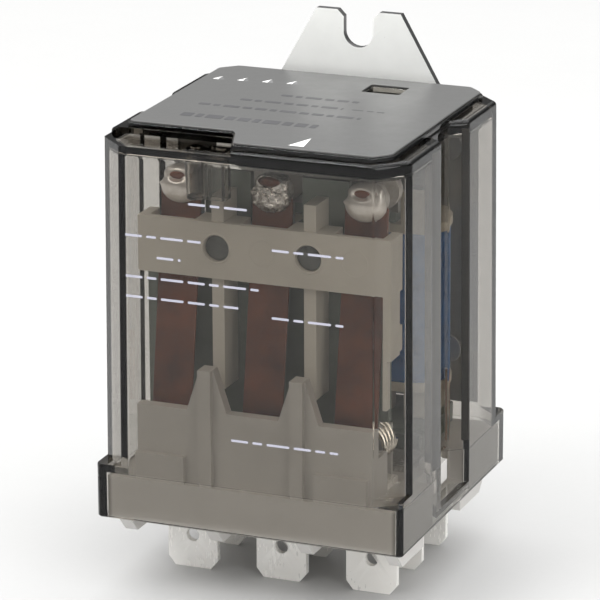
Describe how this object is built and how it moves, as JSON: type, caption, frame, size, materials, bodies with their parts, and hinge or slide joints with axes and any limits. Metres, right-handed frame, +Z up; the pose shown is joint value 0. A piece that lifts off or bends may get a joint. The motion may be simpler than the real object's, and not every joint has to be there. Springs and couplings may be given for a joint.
{
  "type": "plug-in power relay",
  "caption": "Plug-in power relay with a clear smoked cover, rows of push-on blade terminals, leaf contacts worked by a hinged armature, and a rear flange with a U slot.",
  "frame": {"origin": "centre of the relay's footprint at the height of the blade tips", "axes": "+Z up from the blade tips to the roof, -Y to the front face, +Y to the flange plate, +X to the right seen from the front"},
  "size_m": [0.0382, 0.037, 0.0636],
  "materials": {
    "smoked_clear": "clear smoked polycarbonate",
    "label_silver": "satin silver print",
    "plated_steel": "satin plated",
    "rivet_metal": "satin",
    "grey_plastic": "matte",
    "light_plastic": "matte",
    "bobbin_plastic": "matte",
    "terminal_silver": "silver plated brass",
    "leaf_copper": "dull copper alloy",
    "contact_silver": "bright silver alloy",
    "magnet_iron": "zinc plated",
    "spring_wire": "bright steel wire",
    "copper_wire": "enamelled",
    "blue_tape": "satin polyester tape"
  },
  "bodies": {
    "housing": {"cover": "smoked_clear", "label_plate": "label_silver", "flange_plate": "plated_steel", "flange_rivets": "rivet_metal", "base": "grey_plastic", "common_terminal_1": "terminal_silver", "common_terminal_2": "terminal_silver", "common_terminal_3": "terminal_silver", "fixed_terminal_1": "terminal_silver", "fixed_terminal_2": "terminal_silver", "fixed_terminal_3": "terminal_silver", "coil_terminal_1": "terminal_silver", "coil_terminal_2": "terminal_silver", "leaf_foot_1": "leaf_copper", "leaf_foot_2": "leaf_copper", "leaf_foot_3": "leaf_copper", "fixed_contact_1": "contact_silver", "fixed_contact_2": "contact_silver", "fixed_contact_3": "contact_silver", "return_spring": "spring_wire", "yoke": "magnet_iron", "core": "magnet_iron", "pole_piece": "magnet_iron", "bobbin": "bobbin_plastic", "winding": "copper_wire", "coil_tape": "blue_tape", "coil_lead_1": "copper_wire", "coil_lead_2": "copper_wire"},
    "armature_assembly": {"armature": "magnet_iron", "carrier": "light_plastic", "carrier_studs": "rivet_metal"},
    "leaf_1": {"contact_leaf_1": "leaf_copper", "moving_contact_1": "contact_silver"},
    "leaf_2": {"contact_leaf_2": "leaf_copper", "moving_contact_2": "contact_silver"},
    "leaf_3": {"contact_leaf_3": "leaf_copper", "moving_contact_3": "contact_silver"}
  },
  "joints": [
    {"name": "armature_hinge", "type": "hinge", "parent": "housing", "child": "armature_assembly", "pos_m": [0, 0.003, 0.0166], "axis": [-1, 0, 0], "range_deg": [0, 4.5], "stiffness_Nm_per_rad": 0.02, "springref_deg": -8.59},
    {"name": "leaf_1_flex", "type": "hinge", "parent": "housing", "child": "leaf_1", "pos_m": [0, -0.0133, 0.0211], "axis": [-1, 0, 0], "range_deg": [0, 5.2], "stiffness_Nm_per_rad": 0.006},
    {"name": "leaf_2_flex", "type": "hinge", "parent": "housing", "child": "leaf_2", "pos_m": [0, -0.0133, 0.0211], "axis": [-1, 0, 0], "range_deg": [0, 5.2], "stiffness_Nm_per_rad": 0.006},
    {"name": "leaf_3_flex", "type": "hinge", "parent": "housing", "child": "leaf_3", "pos_m": [0, -0.0133, 0.0211], "axis": [-1, 0, 0], "range_deg": [0, 5.2], "stiffness_Nm_per_rad": 0.006}
  ],
  "couplings": [
    {"joint": "leaf_1_flex", "follows": "armature_hinge", "ratio": 1.15},
    {"joint": "leaf_2_flex", "follows": "armature_hinge", "ratio": 1.15},
    {"joint": "leaf_3_flex", "follows": "armature_hinge", "ratio": 1.15}
  ]
}
